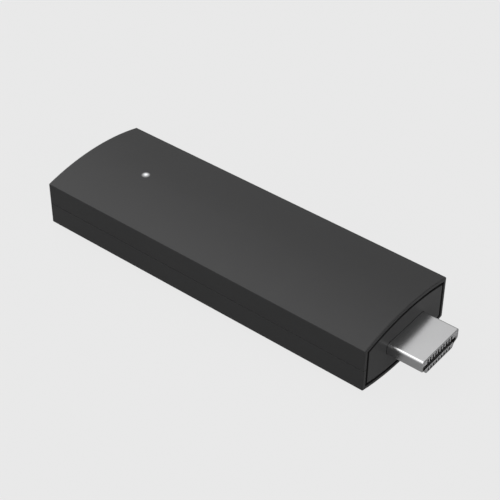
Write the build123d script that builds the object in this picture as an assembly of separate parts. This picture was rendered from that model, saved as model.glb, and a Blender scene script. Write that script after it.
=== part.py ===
from build123d import *

import os
from math import sqrt

# A streaming stick: a slim crowned bar that plugs straight into the video socket of a television.
# X runs along the stick towards the plug, Y across it and Z up. The origin lies under the middle of
# the whole stick, level with the lowest line of its crowned underside. Sizes are in millimetres.

# Housing
BODY_LENGTH = 90.7
BODY_WIDTH = 30.3
SIDE_HEIGHT = 11.1
CROWN_RISE = 2.0
WALL = 1.5
EDGE_RADIUS = 0.25
SEAM_GROOVE = 0.12

# Mouth of the housing and the plate set into it, at both ends
RIM = 0.85
CAP_THICKNESS = 2.0
CAP_GAP = 0.6
CAP_GAP_DEPTH = 1.2
CAP_FIT = 0.1
CAP_EDGE = 0.15

# Clips that hold the end plates
CLIP_LENGTH = 4.0
CLIP_WIDTH = 4.0
CLIP_THICKNESS = 0.8
CLIP_BARB = 0.4
CLIP_BARB_LENGTH = 1.0
CLIP_FIT = 0.1

# Lip of the bottom cover, which stands in a rebate of the top cover
LIP_HEIGHT = 0.8
LIP_THICKNESS = 0.65
LIP_FIT = 0.08
LIP_CLEAR_OF_CLIP = 0.8

# Snap hooks of the top cover, which catch in pockets of the bottom cover
SNAP_COUNT = 3
SNAP_END_SPACE = 17.0
SNAP_WIDTH = 4.0
SNAP_THICKNESS = 0.9
SNAP_REACH = 3.2
SNAP_ROOT_HEIGHT = 2.0
SNAP_BARB = 0.5
SNAP_BARB_HEIGHT = 1.0
SNAP_FIT = 0.1

# Video plug
PLUG_REACH = 8.75
PLUG_INSIDE = 6.5
PLUG_WIDTH = 13.9
PLUG_HEIGHT = 4.45
PLUG_SIDE = 2.75
PLUG_STEP = 0.6
PLUG_LIP_WIDTH = 10.0
PLUG_LIP_TAPER = 0.55
PLUG_CORNER = 0.6
PLUG_SHEET = 0.3
PLUG_DROP = 0.55
PLUG_FIT = 0.1
PLUG_EDGE = 0.08
PLUG_LEG_LENGTH = 3.0
PLUG_LEG_HEIGHT = 1.3

# Insulator and contacts of the plug
INSULATOR_FIT = 0.02
INSULATOR_RECESS = 0.12
CAVITY_WIDTH = 12.6
CAVITY_HEIGHT = 1.25
CAVITY_DROP = 0.28
CAVITY_DEPTH = 7.5
CONTACT_PITCH = 1.0
UPPER_CONTACTS = 10
LOWER_CONTACTS = 9
CONTACT_WIDTH = 0.35
CONTACT_THICKNESS = 0.2
CONTACT_SETBACK = 1.0
CONTACT_TAIL = 1.6
SLOT_WIDTH = 0.55
SLOT_HEIGHT = 1.1
SLOT_FIT = 0.05
STRIP_HEIGHT = 0.4
STRIP_DEPTH = 0.8
NOTCH_HEIGHT = 0.5

# Circuit board and what fixes it
BOARD_THICKNESS = 1.0
BOARD_SIDE_GAP = 1.6
BOARD_CORNER = 0.8
BOARD_TO_PLUG = 0.2
BOARD_TO_BUTTON = 0.3
FIXING_INSET = 2.6
FIXING_FROM_REAR = 9.5
FIXING_FROM_FRONT = 4.5
BOSS_RADIUS = 2.0
SCREW_RADIUS = 0.7
SCREW_LENGTH = 4.2
SCREW_HEAD_RADIUS = 1.4
SCREW_HEAD_HEIGHT = 0.9
SCREW_SLOT_WIDTH = 0.35
SCREW_SLOT_LENGTH = 1.8
SCREW_SLOT_DEPTH = 0.4
SCREW_FIT = 0.05
PEG_RADIUS = 0.8
PEG_HEIGHT = 0.7
PEG_FIT = 0.1

# Chips and their shield
SHIELD_HEIGHT = 2.0
SHIELD_SHEET = 0.2
SHIELD_FROM_FRONT = 7.0
SHIELD_SKIRT = 1.3
SHIELD_FIT = 0.05
SHIELD_SIDE_SPACE = 2.55
CHIP_SPACE = 1.2
PROCESSOR_SIZE = 13.0
PROCESSOR_HEIGHT = 1.2
MEMORY_LENGTH = 10.0
MEMORY_WIDTH = 14.5
MEMORY_HEIGHT = 1.0
FLASH_LENGTH = 11.5
FLASH_WIDTH = 13.0
FLASH_HEIGHT = 1.0
POWER_CHIP_SIZE = 4.0
POWER_CHIP_HEIGHT = 0.8
POWER_CHIP_OFFSET = 4.5

# Wireless module and aerials
WIRELESS_SIZE = 10.0
WIRELESS_THICKNESS = 0.6
WIRELESS_CAN_HEIGHT = 1.3
WIRELESS_CAN_INSET = 0.5
WIRELESS_OFFSET = 3.5
ANTENNA_LENGTH = 18.0
ANTENNA_HEIGHT = 4.2
ANTENNA_SHEET = 0.3
ANTENNA_FOOT = 1.2
ANTENNA_INSET = 0.3
ANTENNA_SLOTS = 4
ANTENNA_SLOT_WIDTH = 0.9
ANTENNA_SLOT_DEPTH = 2.4

# Small parts on the board
INDUCTOR_SIZE = 4.0
INDUCTOR_HEIGHT = 1.8
INDUCTOR_EDGE = 0.5
INDUCTOR_COUNT = 3
INDUCTOR_PITCH = 5.0
CHIP_PART_LENGTH = 1.6
CHIP_PART_WIDTH = 0.8
CAPACITOR_HEIGHT = 0.8
RESISTOR_HEIGHT = 0.45
CHIP_PART_PITCH = 1.8
CHIP_PART_ROW = 7
CHIP_PART_GAP = 0.8
CRYSTAL_LENGTH = 3.2
CRYSTAL_WIDTH = 2.5
CRYSTAL_HEIGHT = 0.7
CRYSTAL_OFFSET = 6.5
PART_SPACE = 1.0

# Heat spreaders and soft pads
SPREADER_LENGTH = 40.0
SPREADER_WIDTH = 20.0
SPREADER_THICKNESS = 1.0
SPREADER_RIB = 0.6
LOWER_SPREADER_LENGTH = 24.0
LOWER_SPREADER_WIDTH = 18.0
LOWER_SPREADER_THICKNESS = 0.8
LOWER_PAD_THICKNESS = 1.5
PAD_SIZE = 14.0
SPREADER_PAD_SIZE = 16.0
RIB_THICKNESS = 1.2
STAKE_INSET = 3.0
STAKE_RADIUS = 0.8
STAKE_FIT = 0.1
STAKE_HEAD_RADIUS = 1.4
STAKE_HEAD_HEIGHT = 0.4

# Status light
LIGHT_FROM_END = 17.05
LIGHT_RADIUS = 0.7
LIGHT_FIT = 0.04
LIGHT_COLLAR_RADIUS = 1.5
LIGHT_COLLAR_HEIGHT = 0.8
LIGHT_BOSS_RADIUS = 2.2
LIGHT_BOSS_DEPTH = 2.2
LED_LENGTH = 1.6
LED_WIDTH = 0.8
LED_HEIGHT = 0.6
LED_TO_PIPE = 0.3

# Power socket
USB_WIDTH = 7.5
USB_HEIGHT = 2.5
USB_DEPTH = 5.6
USB_SHEET = 0.25
USB_CHAMFER = 0.9
USB_CORNER = 0.3
USB_RECESS = 0.3
USB_FIT = 0.15
USB_BLOCK = 1.2
USB_TONGUE_WIDTH = 3.9
USB_TONGUE_THICKNESS = 0.5
USB_TONGUE_SETBACK = 0.7
USB_CONTACTS = 5
USB_CONTACT_PITCH = 0.65
USB_CONTACT_WIDTH = 0.35
USB_CONTACT_THICKNESS = 0.15
USB_TAIL = 0.7

# Reset button and the snap switch behind it
BUTTON_RADIUS = 1.3
BUTTON_FROM_SIDE = 6.8
BUTTON_RECESS = 0.2
BUTTON_FIT = 0.08
BUTTON_EDGE = 0.2
BUTTON_FLANGE_RADIUS = 1.9
BUTTON_FLANGE_THICKNESS = 0.5
BUTTON_REST_GAP = 0.05
BUTTON_TRAVEL = 0.25
SWITCH_SETBACK = 0.05
SWITCH_WIDTH = 4.6
SWITCH_DEPTH = 3.0
SWITCH_HEIGHT = 2.5
SWITCH_WALL = 0.5
SWITCH_COVER_THICKNESS = 0.15
SWITCH_CHAMBER_WIDTH = 2.8
PLUNGER_WIDTH = 1.6
PLUNGER_HEIGHT = 1.1
PLUNGER_FIT = 0.08
PLUNGER_FLANGE_WIDTH = 2.2
PLUNGER_FLANGE_HEIGHT = 1.5
PLUNGER_FLANGE_THICKNESS = 0.25
DOME_RADIUS = 0.9
DOME_RISE = 0.4
DOME_SHEET = 0.1
TERMINAL_LENGTH = 0.8
TERMINAL_REACH = 0.5
TERMINAL_THICKNESS = 0.15

# Places worked out from the sizes above
X_BACK = -(BODY_LENGTH + PLUG_REACH) / 2
X_FRONT = X_BACK + BODY_LENGTH
X_TIP = X_FRONT + PLUG_REACH
INNER_BACK = X_BACK + CAP_THICKNESS
INNER_FRONT = X_FRONT - CAP_THICKNESS
BODY_HEIGHT = SIDE_HEIGHT + 2 * CROWN_RISE
MID = BODY_HEIGHT / 2
CROWN_RADIUS = ((BODY_WIDTH / 2) ** 2 + CROWN_RISE**2) / (2 * CROWN_RISE)
INNER_SIDE = BODY_WIDTH / 2 - WALL

BUTTON_Y = BODY_WIDTH / 2 - BUTTON_FROM_SIDE
BUTTON_FACE = X_BACK + BUTTON_RECESS
BUTTON_FLANGE_FRONT = INNER_BACK + BUTTON_REST_GAP
BUTTON_REAR = BUTTON_FLANGE_FRONT + BUTTON_FLANGE_THICKNESS

PLUG_Z = MID - PLUG_DROP
PLUG_REAR = X_FRONT - PLUG_INSIDE
CAVITY_Z = PLUG_Z - CAVITY_DROP
BOARD_TOP = CAVITY_Z + BOARD_THICKNESS / 2
BOARD_BOTTOM = CAVITY_Z - BOARD_THICKNESS / 2
BOARD_FRONT = PLUG_REAR - BOARD_TO_PLUG
BOARD_REAR = BUTTON_REAR + BUTTON_TRAVEL + BOARD_TO_BUTTON
BOARD_SIDE = INNER_SIDE - BOARD_SIDE_GAP
FIXING_REAR_X = BOARD_REAR + FIXING_FROM_REAR
FIXING_FRONT_X = BOARD_FRONT - FIXING_FROM_FRONT
FIXING_Y = BOARD_SIDE - FIXING_INSET
SCREW_PLACES = [(FIXING_REAR_X, FIXING_Y), (FIXING_FRONT_X, -FIXING_Y)]
PEG_PLACES = [(FIXING_REAR_X, -FIXING_Y), (FIXING_FRONT_X, FIXING_Y)]

SHIELD_LENGTH = PROCESSOR_SIZE + MEMORY_LENGTH + 3 * CHIP_SPACE + 2 * SHIELD_SHEET
SHIELD_WIDTH = MEMORY_WIDTH + 2 * (SHIELD_SIDE_SPACE + SHIELD_SHEET)
SHIELD_FRONT = BOARD_FRONT - SHIELD_FROM_FRONT
SHIELD_X = SHIELD_FRONT - SHIELD_LENGTH / 2
SHIELD_TOP = BOARD_TOP + SHIELD_HEIGHT
PROCESSOR_X = SHIELD_FRONT - SHIELD_SHEET - CHIP_SPACE - PROCESSOR_SIZE / 2
MEMORY_X = PROCESSOR_X - PROCESSOR_SIZE / 2 - CHIP_SPACE - MEMORY_LENGTH / 2
LIGHT_X = X_BACK + LIGHT_FROM_END
WIRELESS_X = LIGHT_X + LED_LENGTH / 2 + PART_SPACE + WIRELESS_SIZE / 2
FLASH_X = WIRELESS_X + WIRELESS_SIZE / 2 + PART_SPACE + FLASH_LENGTH / 2

USB_MOUTH = X_BACK + USB_RECESS
USB_REAR = USB_MOUTH + USB_DEPTH
INDUCTOR_X = USB_REAR + USB_TAIL + PART_SPACE / 2 + INDUCTOR_SIZE / 2
POWER_CHIP_X = INDUCTOR_X + INDUCTOR_SIZE / 2 + PART_SPACE / 2 + POWER_CHIP_SIZE / 2

SPREADER_TOP = BODY_HEIGHT - CROWN_RADIUS - SPREADER_RIB
SPREADER_TOP += sqrt((CROWN_RADIUS - WALL) ** 2 - (SPREADER_WIDTH / 2) ** 2)
SPREADER_BOTTOM = SPREADER_TOP - SPREADER_THICKNESS
LOWER_SPREADER_TOP = BOARD_BOTTOM - LOWER_PAD_THICKNESS
LOWER_SPREADER_BOTTOM = LOWER_SPREADER_TOP - LOWER_SPREADER_THICKNESS

SWITCH_FRONT = BOARD_REAR + SWITCH_SETBACK
SWITCH_Z = BOARD_TOP + SWITCH_HEIGHT / 2
SWITCH_TOP = BOARD_TOP + SWITCH_HEIGHT - SWITCH_COVER_THICKNESS
CHAMBER_FRONT = SWITCH_FRONT + SWITCH_WALL
PLUNGER_REAR = CHAMBER_FRONT + PLUNGER_FIT + PLUNGER_FLANGE_THICKNESS
CHAMBER_REAR = PLUNGER_REAR + DOME_RISE


def crown(inset, y=0.0):
    """Height above mid-plane of a crown set in evenly from the outside, at a distance y off centre."""
    return MID - CROWN_RADIUS + sqrt((CROWN_RADIUS - inset) ** 2 - y**2)


def section(inset):
    """Face across the housing, set in evenly from its outside: two flat sides and two crowns."""
    half = BODY_WIDTH / 2 - inset
    corner = crown(inset, half)
    middle = crown(inset)
    outline = [
        ThreePointArc((-half, MID + corner), (0, MID + middle), (half, MID + corner)),
        Line((half, MID + corner), (half, MID - corner)),
        ThreePointArc((half, MID - corner), (0, MID - middle), (-half, MID - corner)),
        Line((-half, MID - corner), (-half, MID + corner)),
    ]
    return make_face(outline)


def span(profile, start, end):
    """Solid whose section across the stick is the profile, from one place along it to another."""
    across = Plane(origin=(start, 0, 0), x_dir=(0, 1, 0), z_dir=(1, 0, 0))
    return extrude(across * profile, amount=end - start, dir=(1, 0, 0))


def block(x, y, z):
    """Box between a pair of limits along each axis."""
    centre = Pos(sum(x) / 2, sum(y) / 2, sum(z) / 2)
    return centre * Box(abs(x[1] - x[0]), abs(y[1] - y[0]), abs(z[1] - z[0]))


def about(centre, size):
    """The pair of limits that lie half a size on each side of a centre."""
    return (centre - size / 2, centre + size / 2)


def post(place, radius, z):
    """Upright cylinder at a place on the plan, between a pair of heights."""
    return Pos(place[0], place[1], sum(z) / 2) * Cylinder(radius, abs(z[1] - z[0]))


def rod(x, y, z, radius):
    """Cylinder along the stick, between a pair of places."""
    centre = Pos(sum(x) / 2, y, z) * Rot(0, 90, 0)
    return centre * Cylinder(radius, abs(x[1] - x[0]))


def on_board(centre, length, width, height, lift=0.0):
    """Box that stands on the board, or a stated lift above it."""
    upright = (BOARD_TOP + lift, BOARD_TOP + lift + height)
    return block(about(centre[0], length), about(centre[1], width), upright)


def row(count, pitch):
    """Evenly spaced places on both sides of the middle."""
    return [(index - (count - 1) / 2) * pitch for index in range(count)]


def group(solids):
    """One sub-part made of separate solids."""
    return Compound(children=list(solids))


def plug_profile(inset):
    """Outline of the plug: straight sides above, stepping in to a narrower lip below."""
    top = PLUG_HEIGHT / 2
    right = [
        (PLUG_WIDTH / 2, top),
        (PLUG_WIDTH / 2, top - PLUG_SIDE),
        (PLUG_LIP_WIDTH / 2 + PLUG_LIP_TAPER, top - PLUG_SIDE - PLUG_STEP),
        (PLUG_LIP_WIDTH / 2, -top),
    ]
    left = [(-y, z) for y, z in reversed(right)]
    outline = make_face(Polyline(*right, *left, close=True))
    rounded = fillet(outline.vertices(), PLUG_CORNER)
    if inset:
        rounded = offset(rounded, amount=-inset)
    return Pos(0, PLUG_Z) * rounded


def usb_profile(inset):
    """Outline of the power socket on the board: a flat box with its two lower corners cut off."""
    half = USB_WIDTH / 2
    points = [
        (half, USB_HEIGHT),
        (half, USB_CHAMFER),
        (half - USB_CHAMFER, 0),
        (USB_CHAMFER - half, 0),
        (-half, USB_CHAMFER),
        (-half, USB_HEIGHT),
    ]
    outline = make_face(Polyline(*points, close=True))
    rounded = fillet(outline.vertices(), USB_CORNER)
    if inset:
        rounded = offset(rounded, amount=-inset)
    return Pos(0, BOARD_TOP) * rounded


def shell():
    """The housing before it is split: rounded outside, hollow, and stepped at both mouths."""
    outside = span(section(0), X_BACK, X_FRONT)
    outside = fillet(outside.edges(), EDGE_RADIUS)
    hollow = span(section(WALL), INNER_BACK, INNER_FRONT)
    mouths = span(section(RIM), X_BACK, INNER_BACK) + span(section(RIM), INNER_FRONT, X_FRONT)
    side = SEAM_GROOVE * sqrt(2)
    groove = Rectangle(side, side, rotation=45)
    grooves = [span(Pos(y, MID) * groove, X_BACK, X_FRONT) for y in (-BODY_WIDTH / 2, BODY_WIDTH / 2)]
    return outside - hollow - mouths - grooves - clip_pockets()


def half_space(upper):
    """Box that holds everything above or below the parting plane."""
    reach = BODY_LENGTH + PLUG_REACH
    z = (MID, MID + BODY_HEIGHT) if upper else (MID - BODY_HEIGHT, MID)
    return block((-reach, reach), (-BODY_WIDTH, BODY_WIDTH), z)


def clip_pockets():
    """Pockets in the side walls for the barbs of the end plates' clips."""
    height = CLIP_WIDTH / 2 + CLIP_FIT
    long = CLIP_BARB_LENGTH + 2 * CLIP_FIT
    places = []
    for side in (-1, 1):
        wall = (side * (INNER_SIDE - CLIP_FIT), side * (INNER_SIDE + CLIP_BARB))
        for inner, inward in ((INNER_BACK, 1), (INNER_FRONT, -1)):
            tip = inner + inward * (CLIP_LENGTH + CLIP_FIT)
            places.append(block((tip - inward * long, tip), wall, (MID - height, MID + height)))
    return places


def lip_limits():
    """Where the lip between the covers starts and ends along the stick."""
    clear = CLIP_LENGTH + LIP_CLEAR_OF_CLIP
    return (INNER_BACK + clear, INNER_FRONT - clear)


def snap_places():
    """Places of the snap hooks along the stick."""
    free = BODY_LENGTH - 2 * SNAP_END_SPACE
    middle = (X_BACK + X_FRONT) / 2
    return [middle + offset_x for offset_x in row(SNAP_COUNT, free / (SNAP_COUNT - 1))]


def snap_hook(x, side):
    """One hook of the top cover: a root on the wall, a leg past the seam and a barb that catches."""
    outer = INNER_SIDE - SNAP_FIT
    inner = outer - SNAP_THICKNESS
    across = about(x, SNAP_WIDTH)
    root_low = MID + LIP_HEIGHT + 2 * LIP_FIT
    root_high = root_low + SNAP_ROOT_HEIGHT
    root = block(across, (side * inner, side * (INNER_SIDE + WALL / 2)), (root_low, root_high))
    leg = block(across, (side * inner, side * outer), (MID - SNAP_REACH, root_high))
    wedge = make_face(
        Polyline(
            (side * inner, MID - SNAP_REACH),
            (side * outer, MID - SNAP_REACH),
            (side * (outer + SNAP_BARB), MID - SNAP_REACH + SNAP_BARB_HEIGHT),
            (side * inner, MID - SNAP_REACH + SNAP_BARB_HEIGHT),
            close=True,
        )
    )
    return root + leg + span(wedge, *across)


def snap_pocket(x, side):
    """Pocket in the bottom cover's wall for one barb."""
    low = MID - SNAP_REACH
    deep = (side * (INNER_SIDE - SNAP_FIT), side * (INNER_SIDE + SNAP_BARB))
    return block(
        about(x, SNAP_WIDTH + 2 * SNAP_FIT), deep, (low, low + SNAP_BARB_HEIGHT + SNAP_FIT)
    )


def stake_places(length, width):
    """The four corners of a spreader where stakes pass through it."""
    x = length / 2 - STAKE_INSET
    y = width / 2 - STAKE_INSET
    return [(SHIELD_X + sign_x * x, sign_y * y) for sign_x in (-1, 1) for sign_y in (-1, 1)]


def top_cover():
    """Upper half of the housing with its hooks, spreader ribs, light boss and plug rib."""
    cover = shell() & half_space(True)
    start, end = lip_limits()
    for side in (-1, 1):
        depth = (side * (INNER_SIDE - LIP_FIT), side * (INNER_SIDE + LIP_THICKNESS + LIP_FIT))
        cover -= block((start - LIP_FIT, end + LIP_FIT), depth, (MID, MID + LIP_HEIGHT + LIP_FIT))
    inside = span(section(WALL / 2), INNER_BACK, INNER_FRONT)
    rib_y = SPREADER_WIDTH / 2 - STAKE_INSET
    inner_parts = [post((LIGHT_X, 0), LIGHT_BOSS_RADIUS, (light_boss_end(), BODY_HEIGHT))]
    for y in (-rib_y, rib_y):
        long = about(SHIELD_X, SPREADER_LENGTH)
        inner_parts.append(block(long, about(y, RIB_THICKNESS), (SPREADER_TOP, BODY_HEIGHT)))
    rib_x = (PLUG_REAR, PLUG_REAR + RIB_THICKNESS)
    inner_parts.append(block(rib_x, about(0, PLUG_LIP_WIDTH), (PLUG_Z + PLUG_HEIGHT / 2, BODY_HEIGHT)))
    for part in inner_parts:
        cover += part & inside
    for place in stake_places(SPREADER_LENGTH, SPREADER_WIDTH):
        cover += post(place, STAKE_RADIUS, (SPREADER_BOTTOM - STAKE_HEAD_HEIGHT, SPREADER_TOP))
        cover += post(place, STAKE_HEAD_RADIUS, (SPREADER_BOTTOM - STAKE_HEAD_HEIGHT, SPREADER_BOTTOM))
    for x in snap_places():
        for side in (-1, 1):
            cover += snap_hook(x, side)
    cover -= post((LIGHT_X, 0), LIGHT_RADIUS + LIGHT_FIT, (MID, 2 * BODY_HEIGHT))
    return cover


def light_boss_end():
    """Height at which the boss round the light pin ends, below the top cover."""
    return MID + crown(WALL) - LIGHT_BOSS_DEPTH


def bottom_cover():
    """Lower half of the housing with its lip, board bosses, spreader ribs and plug rib."""
    cover = shell() & half_space(False)
    start, end = lip_limits()
    inside = span(section(WALL / 2), INNER_BACK, INNER_FRONT)
    inner_parts = [post(place, BOSS_RADIUS, (0, BOARD_BOTTOM)) for place in SCREW_PLACES + PEG_PLACES]
    rib_y = LOWER_SPREADER_WIDTH / 2 - STAKE_INSET
    for y in (-rib_y, rib_y):
        long = about(SHIELD_X, LOWER_SPREADER_LENGTH)
        inner_parts.append(block(long, about(y, RIB_THICKNESS), (0, LOWER_SPREADER_BOTTOM)))
    rib_x = (PLUG_REAR, PLUG_REAR + RIB_THICKNESS)
    rib_y = about(0, PLUG_LIP_WIDTH - 2 * PLUG_CORNER)
    inner_parts.append(block(rib_x, rib_y, (0, PLUG_Z - PLUG_HEIGHT / 2)))
    for part in inner_parts:
        cover += part & inside
    for side in (-1, 1):
        thick = (side * INNER_SIDE, side * (INNER_SIDE + LIP_THICKNESS))
        cover += block((start, end), thick, (MID - LIP_HEIGHT, MID + LIP_HEIGHT))
        for x in snap_places():
            cover -= snap_pocket(x, side)
    for place in PEG_PLACES:
        cover += post(place, PEG_RADIUS, (BOARD_BOTTOM - PEG_HEIGHT, BOARD_TOP + PEG_HEIGHT))
    for place in stake_places(LOWER_SPREADER_LENGTH, LOWER_SPREADER_WIDTH):
        high = LOWER_SPREADER_TOP + STAKE_HEAD_HEIGHT
        cover += post(place, STAKE_RADIUS, (LOWER_SPREADER_BOTTOM, high))
        cover += post(place, STAKE_HEAD_RADIUS, (LOWER_SPREADER_TOP, high))
    for place in SCREW_PLACES:
        low = BOARD_TOP - SCREW_LENGTH - SCREW_FIT
        cover -= post(place, SCREW_RADIUS + SCREW_FIT, (low, BOARD_TOP))
    return cover


def end_cap(outer, inward):
    """Plate set into a mouth: its face, the flange behind the dark gap, and two side clips."""
    inner = outer + inward * CAP_THICKNESS
    face = span(section(RIM + CAP_GAP), *sorted((outer, inner)))
    rim_edges = face.edges().group_by(Axis.X)[0 if inward > 0 else -1]
    face = fillet(rim_edges, CAP_EDGE)
    cap = face + span(section(RIM + CAP_FIT), *sorted((outer + inward * CAP_GAP_DEPTH, inner)))
    tip = inner + inward * CLIP_LENGTH
    for side in (-1, 1):
        out = INNER_SIDE - CLIP_FIT
        arm = (side * (out - CLIP_THICKNESS), side * out)
        cap += block((inner, tip), arm, about(MID, CLIP_WIDTH))
        barb = (tip - inward * CLIP_BARB_LENGTH, tip)
        cap += block(barb, (side * out, side * (out + CLIP_BARB)), about(MID, CLIP_WIDTH))
    return cap


def front_end_cap():
    """End plate that the plug stands out of."""
    window = span(plug_profile(-PLUG_FIT), INNER_FRONT - CLIP_FIT, X_FRONT + CLIP_FIT)
    return end_cap(X_FRONT, -1) - window


def rear_end_cap():
    """End plate at the far end, with the power socket's window and the button's bore."""
    through = (X_BACK - CAP_FIT, INNER_BACK + CAP_FIT)
    window = span(usb_profile(-USB_FIT), *through)
    bore = rod(through, BUTTON_Y, SWITCH_Z, BUTTON_RADIUS + BUTTON_FIT)
    return end_cap(X_BACK, 1) - window - bore


def light_pipe():
    """Clear pin from the lamp on the board to the top face, with a collar under its boss."""
    place = (LIGHT_X, 0)
    end = light_boss_end()
    pin = post(place, LIGHT_RADIUS, (BOARD_TOP + LED_HEIGHT + LED_TO_PIPE, BODY_HEIGHT))
    return pin + post(place, LIGHT_COLLAR_RADIUS, (end - LIGHT_COLLAR_HEIGHT, end))


def status_led():
    """Small lamp under the pin."""
    return on_board((LIGHT_X, 0), LED_LENGTH, LED_WIDTH, LED_HEIGHT)


def main_board():
    """Circuit board with rounded corners and its four fixing holes."""
    upright = (BOARD_BOTTOM, BOARD_TOP)
    board = block((BOARD_REAR, BOARD_FRONT), (-BOARD_SIDE, BOARD_SIDE), upright)
    board = fillet(board.edges().filter_by(Axis.Z), BOARD_CORNER)
    for place in SCREW_PLACES:
        board -= post(place, SCREW_RADIUS + SCREW_FIT, upright)
    for place in PEG_PLACES:
        board -= post(place, PEG_RADIUS + PEG_FIT, upright)
    return board


def board_screws():
    """Slotted screws that hold the board on its bosses."""
    screws = []
    for place in SCREW_PLACES:
        shank = post(place, SCREW_RADIUS, (BOARD_TOP - SCREW_LENGTH, BOARD_TOP))
        top = BOARD_TOP + SCREW_HEAD_HEIGHT
        head = post(place, SCREW_HEAD_RADIUS, (BOARD_TOP, top))
        slot = block(
            about(place[0], SCREW_SLOT_LENGTH),
            about(place[1], SCREW_SLOT_WIDTH),
            (top - SCREW_SLOT_DEPTH, top),
        )
        screws.append(shank + head - slot)
    return group(screws)


def processor_chip():
    """Main processor, in the front half of the shield."""
    return on_board((PROCESSOR_X, 0), PROCESSOR_SIZE, PROCESSOR_SIZE, PROCESSOR_HEIGHT)


def memory_chip():
    """Working memory, beside the processor."""
    return on_board((MEMORY_X, 0), MEMORY_LENGTH, MEMORY_WIDTH, MEMORY_HEIGHT)


def flash_chip():
    """Storage memory, behind the shield."""
    return on_board((FLASH_X, 0), FLASH_LENGTH, FLASH_WIDTH, FLASH_HEIGHT)


def power_chip():
    """Power supply chip, beside the coils."""
    place = (POWER_CHIP_X, -POWER_CHIP_OFFSET)
    return on_board(place, POWER_CHIP_SIZE, POWER_CHIP_SIZE, POWER_CHIP_HEIGHT)


def power_inductors():
    """Moulded coils of the power supply, in a row behind the power socket."""
    coils = []
    for y in row(INDUCTOR_COUNT, INDUCTOR_PITCH):
        coil = on_board((INDUCTOR_X, y), INDUCTOR_SIZE, INDUCTOR_SIZE, INDUCTOR_HEIGHT)
        coils.append(chamfer(coil.edges().filter_by(Axis.Z), INDUCTOR_EDGE))
    return group(coils)


def crystal():
    """Clock crystal beside the wireless module."""
    return on_board((WIRELESS_X, CRYSTAL_OFFSET), CRYSTAL_LENGTH, CRYSTAL_WIDTH, CRYSTAL_HEIGHT)


def chip_row(x, count, height, middle=0.0):
    """Row of small chip parts across the board, on both sides of a middle."""
    places = [(x, middle + y) for y in row(count, CHIP_PART_PITCH)]
    return [on_board(place, CHIP_PART_LENGTH, CHIP_PART_WIDTH, height) for place in places]


def capacitors():
    """Chip capacitors in front of the shield, and two short rows that face the power chip."""
    parts = chip_row(
        SHIELD_FRONT + CHIP_PART_GAP + CHIP_PART_LENGTH / 2, CHIP_PART_ROW, CAPACITOR_HEIGHT
    )
    half_row = CHIP_PART_ROW // 2
    for x in row(2, CHIP_PART_LENGTH + CHIP_PART_GAP):
        parts += chip_row(POWER_CHIP_X + x, half_row, CAPACITOR_HEIGHT, POWER_CHIP_OFFSET)
    return group(parts)


def resistors():
    """Chip resistors between the front capacitors and the plug's contacts."""
    front = SHIELD_FRONT + 2 * CHIP_PART_GAP + 3 * CHIP_PART_LENGTH / 2
    return group(chip_row(front, CHIP_PART_ROW, RESISTOR_HEIGHT))


def shield_frame():
    """Fence of sheet metal soldered round the processor and the memory."""
    height = SHIELD_HEIGHT - SHIELD_SHEET
    fence = on_board((SHIELD_X, 0), SHIELD_LENGTH, SHIELD_WIDTH, height)
    inner = 2 * SHIELD_SHEET
    return fence - on_board((SHIELD_X, 0), SHIELD_LENGTH - inner, SHIELD_WIDTH - inner, height)


def shield_lid():
    """Lid of the shield, with a skirt that grips the fence."""
    grow = 2 * (SHIELD_FIT + SHIELD_SHEET)
    lift = SHIELD_HEIGHT - SHIELD_SHEET - SHIELD_SKIRT
    height = SHIELD_SKIRT + SHIELD_SHEET
    lid = on_board((SHIELD_X, 0), SHIELD_LENGTH + grow, SHIELD_WIDTH + grow, height, lift)
    fit = 2 * SHIELD_FIT
    return lid - on_board((SHIELD_X, 0), SHIELD_LENGTH + fit, SHIELD_WIDTH + fit, SHIELD_SKIRT, lift)


def chip_pad():
    """Soft pad that fills the space between the processor and the lid."""
    height = SHIELD_HEIGHT - SHIELD_SHEET - PROCESSOR_HEIGHT
    return on_board((PROCESSOR_X, 0), PROCESSOR_SIZE, PROCESSOR_SIZE, height, PROCESSOR_HEIGHT)


def spreader_pad():
    """Soft pad between the lid and the heat spreader."""
    height = SPREADER_BOTTOM - SHIELD_TOP
    return on_board((SHIELD_X, 0), SPREADER_PAD_SIZE, SPREADER_PAD_SIZE, height, SHIELD_HEIGHT)


def lower_pad():
    """Soft pad between the board and the lower spreader."""
    area = about(SHIELD_X, PAD_SIZE), about(0, PAD_SIZE)
    return block(*area, (LOWER_SPREADER_TOP, BOARD_BOTTOM))


def spreader(length, width, z):
    """Flat plate with four holes for its stakes."""
    plate = block(about(SHIELD_X, length), about(0, width), z)
    for place in stake_places(length, width):
        plate -= post(place, STAKE_RADIUS + STAKE_FIT, z)
    return plate


def heat_spreader():
    """Aluminium plate staked under the top cover."""
    return spreader(SPREADER_LENGTH, SPREADER_WIDTH, (SPREADER_BOTTOM, SPREADER_TOP))


def lower_spreader():
    """Aluminium plate staked in the bottom cover."""
    z = (LOWER_SPREADER_BOTTOM, LOWER_SPREADER_TOP)
    return spreader(LOWER_SPREADER_LENGTH, LOWER_SPREADER_WIDTH, z)


def wireless_board():
    """Small board of the wireless module."""
    return on_board((WIRELESS_X, -WIRELESS_OFFSET), WIRELESS_SIZE, WIRELESS_SIZE, WIRELESS_THICKNESS)


def wireless_can():
    """Metal can over the wireless module."""
    side = WIRELESS_SIZE - 2 * WIRELESS_CAN_INSET
    inner = side - 2 * SHIELD_SHEET
    place = (WIRELESS_X, -WIRELESS_OFFSET)
    can = on_board(place, side, side, WIRELESS_CAN_HEIGHT, WIRELESS_THICKNESS)
    return can - on_board(place, inner, inner, WIRELESS_CAN_HEIGHT - SHIELD_SHEET, WIRELESS_THICKNESS)


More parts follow.
